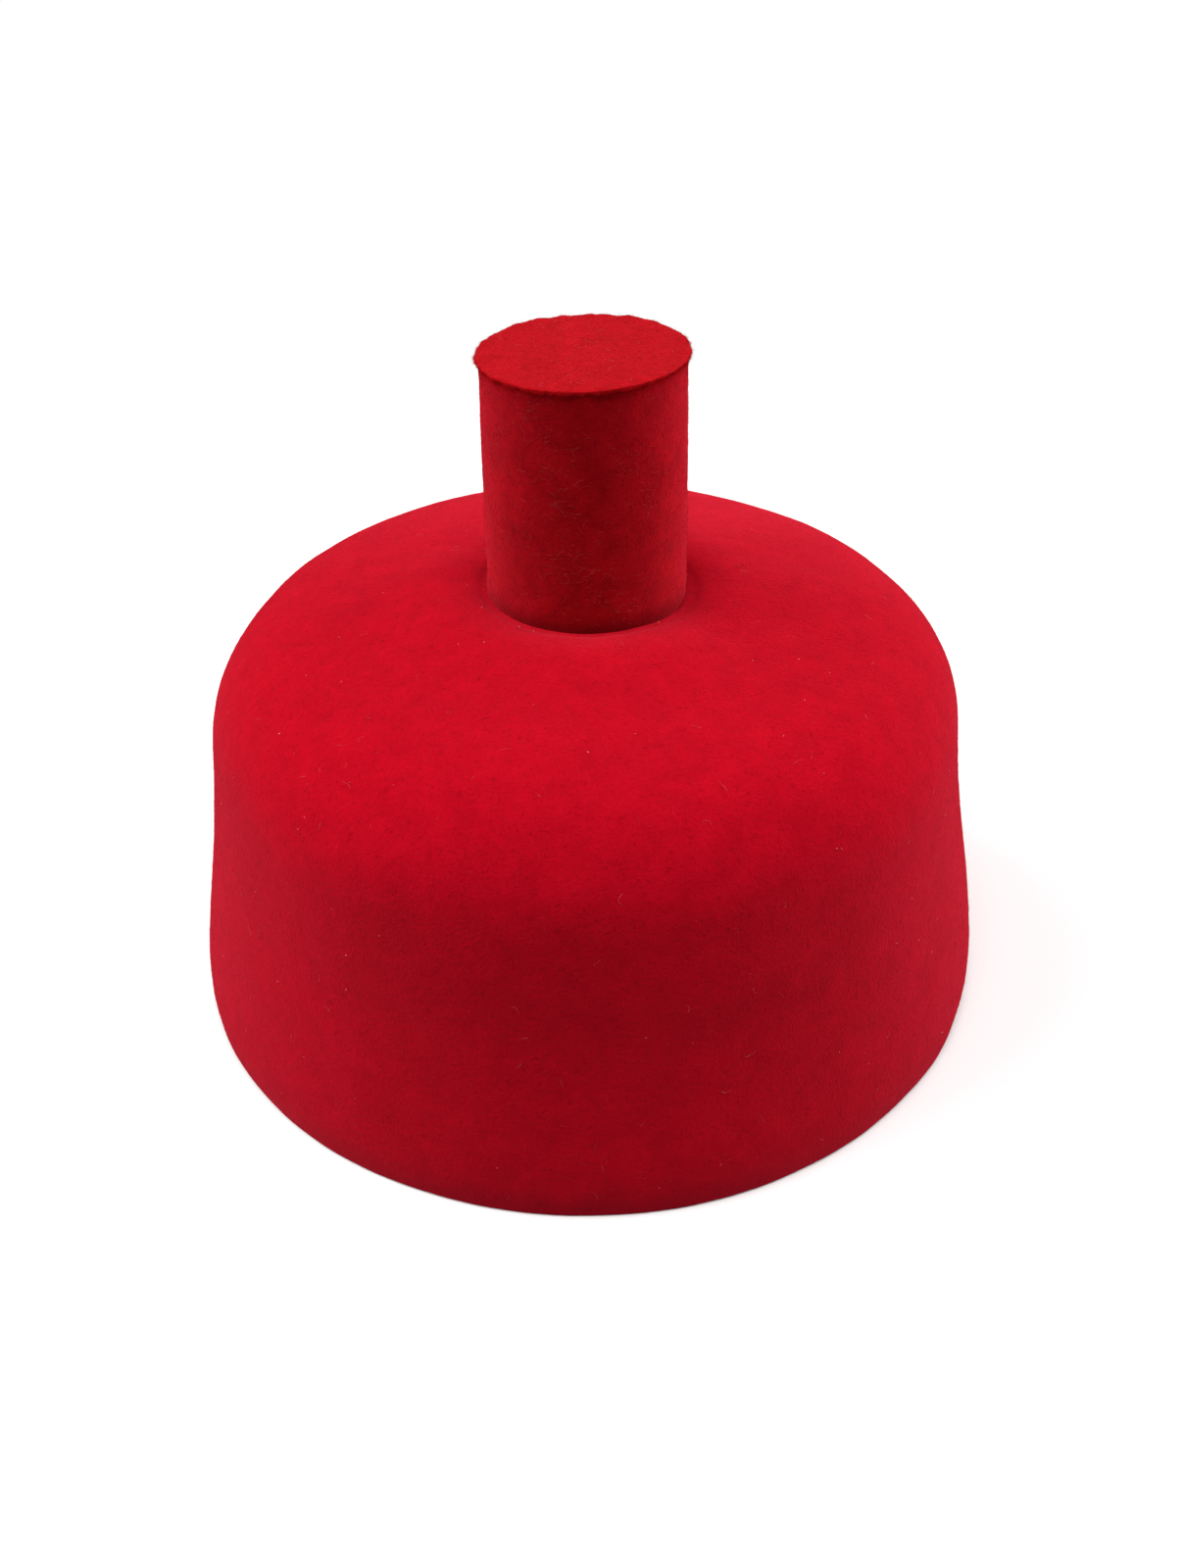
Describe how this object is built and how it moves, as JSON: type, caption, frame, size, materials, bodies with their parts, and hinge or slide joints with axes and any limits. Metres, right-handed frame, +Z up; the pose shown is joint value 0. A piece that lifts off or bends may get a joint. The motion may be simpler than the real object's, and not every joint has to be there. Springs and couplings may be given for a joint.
{
  "type": "chieftaincy cap",
  "caption": "Round red felt chieftaincy cap: a blocked crown with a soft shoulder, open below for the head, and a tubular felt stub closed by a felt disc standing on its top.",
  "frame": {"origin": "centre of the rim, on the surface that the cap stands on", "axes": "+Z up through the stub, -Y to the cap's front as pictured, +X to the right of that front"},
  "size_m": [0.1892, 0.1892, 0.1536],
  "materials": {
    "crown_felt": "matte bright red wool felt with a short nap",
    "stub_felt": "matte deep red wool felt with a scuffed nap",
    "disc_felt": "matte bright red wool felt with a fuzzy cut edge"
  },
  "bodies": {
    "root": {"crown": "crown_felt", "stub_tube": "stub_felt", "stub_disc": "disc_felt"}
  },
  "joints": []
}
